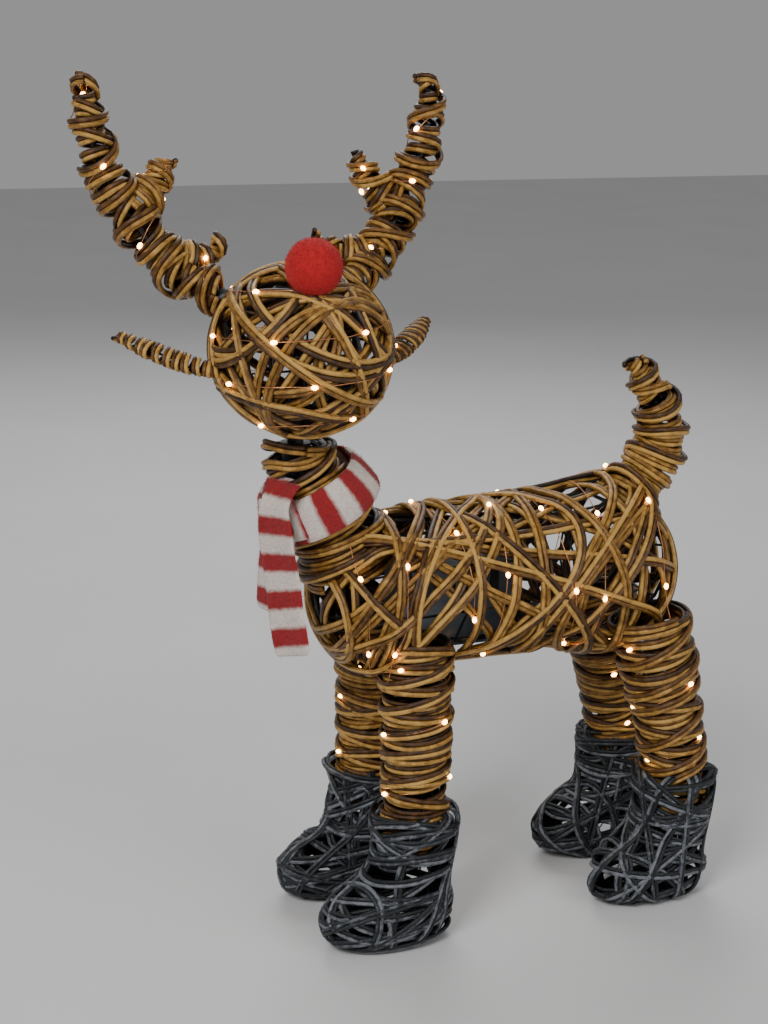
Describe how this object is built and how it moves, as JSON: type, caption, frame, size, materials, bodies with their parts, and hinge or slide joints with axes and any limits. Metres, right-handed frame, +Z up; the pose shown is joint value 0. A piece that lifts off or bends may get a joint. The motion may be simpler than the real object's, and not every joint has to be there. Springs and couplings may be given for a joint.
{
  "type": "light up yard reindeer",
  "caption": "Free-standing woven yard reindeer with warm micro lights, boots, a striped scarf, a turning head and lift-off antlers.",
  "frame": {"origin": "middle of the base of the bounding box, on the ground", "axes": "+Z up, the body faces -Y and its left side is +X; the head is turned to the left, so the muzzle points to +X"},
  "size_m": [0.2038, 0.58, 0.7708],
  "materials": {
    "rattan": "twin-strand resin rattan, two brown tones, satin",
    "charcoal_rattan": "charcoal resin rattan, satin",
    "black_steel": "black powder-coated wire",
    "black_plastic": "black moulded plastic",
    "box_plastic": "dark blue-grey moulded plastic, fine texture",
    "seal_foam": "black foam seal",
    "battery_wrap": "plain printed wrap, no marks",
    "contact_metal": "plated spring steel",
    "circuit_board": "green solder mask",
    "red_felt": "matted wool felt",
    "striped_fleece": "brushed fleece with red and off-white stripes",
    "warm_led": "clear resin bulbs on copper wire, lit warm white"
  },
  "bodies": {
    "body": {"battery_box": "box_plastic", "battery_cell_1": "battery_wrap", "battery_cell_2": "battery_wrap", "battery_cell_3": "battery_wrap", "battery_cell_4": "battery_wrap", "boot_front_left": "charcoal_rattan", "boot_front_right": "charcoal_rattan", "boot_rear_left": "charcoal_rattan", "boot_rear_right": "charcoal_rattan", "box_bracket_front": "black_steel", "box_bracket_rear": "black_steel", "contact_plate_front": "contact_metal", "contact_plate_rear": "contact_metal", "hatch_ring": "black_steel", "led_string_body": "warm_led", "led_string_leg_front_left": "warm_led", "led_string_leg_front_right": "warm_led", "led_string_leg_rear_left": "warm_led", "led_string_leg_rear_right": "warm_led", "leg_frame_front_left": "black_steel", "leg_frame_front_right": "black_steel", "leg_frame_rear_left": "black_steel", "leg_frame_rear_right": "black_steel", "leg_weave_front_left": "rattan", "leg_weave_front_right": "rattan", "leg_weave_rear_left": "rattan", "leg_weave_rear_right": "rattan", "lid_seal": "seal_foam", "neck_frame": "black_steel", "neck_socket": "black_plastic", "neck_weave": "rattan", "scarf": "striped_fleece", "tail_frame": "black_steel", "tail_weave": "rattan", "timer_board": "circuit_board", "torso_frame": "black_steel", "torso_weave": "rattan"},
    "head": {"head_weave": "rattan", "head_frame": "black_steel", "head_post": "black_plastic", "led_string_head": "warm_led", "nose": "red_felt", "ear_weave_left": "rattan", "ear_weave_right": "rattan", "ear_frame_left": "black_steel", "ear_frame_right": "black_steel", "antler_socket_left": "black_plastic", "antler_socket_right": "black_plastic"},
    "antler_left": {"antler_weave_left": "rattan", "antler_frame_left": "black_steel", "led_string_antler_left": "warm_led"},
    "antler_right": {"antler_weave_right": "rattan", "antler_frame_right": "black_steel", "led_string_antler_right": "warm_led"},
    "lid": {"box_lid": "box_plastic"},
    "switch": {"mode_switch": "black_plastic"}
  },
  "joints": [
    {"name": "head_turn", "type": "hinge", "parent": "body", "child": "head", "pos_m": [-0.00013, -0.11801, 0.458], "axis": [0, 0, 1], "range_deg": [-180, 0]},
    {"name": "antler_lift_left", "type": "slide", "parent": "head", "child": "antler_left", "axis": [-0.4407, 0.5208, 0.7311], "range_m": [0, 0.06]},
    {"name": "antler_lift_right", "type": "slide", "parent": "head", "child": "antler_right", "axis": [-0.4407, -0.5208, 0.7311], "range_m": [0, 0.06]},
    {"name": "lid_hinge", "type": "hinge", "parent": "body", "child": "lid", "pos_m": [-0.00013, 0.09349, 0.2669], "axis": [1, 0, 0], "range_deg": [0, 90]},
    {"name": "switch_slide", "type": "slide", "parent": "body", "child": "switch", "axis": [1, 0, 0], "range_m": [0, 0.004]}
  ]
}
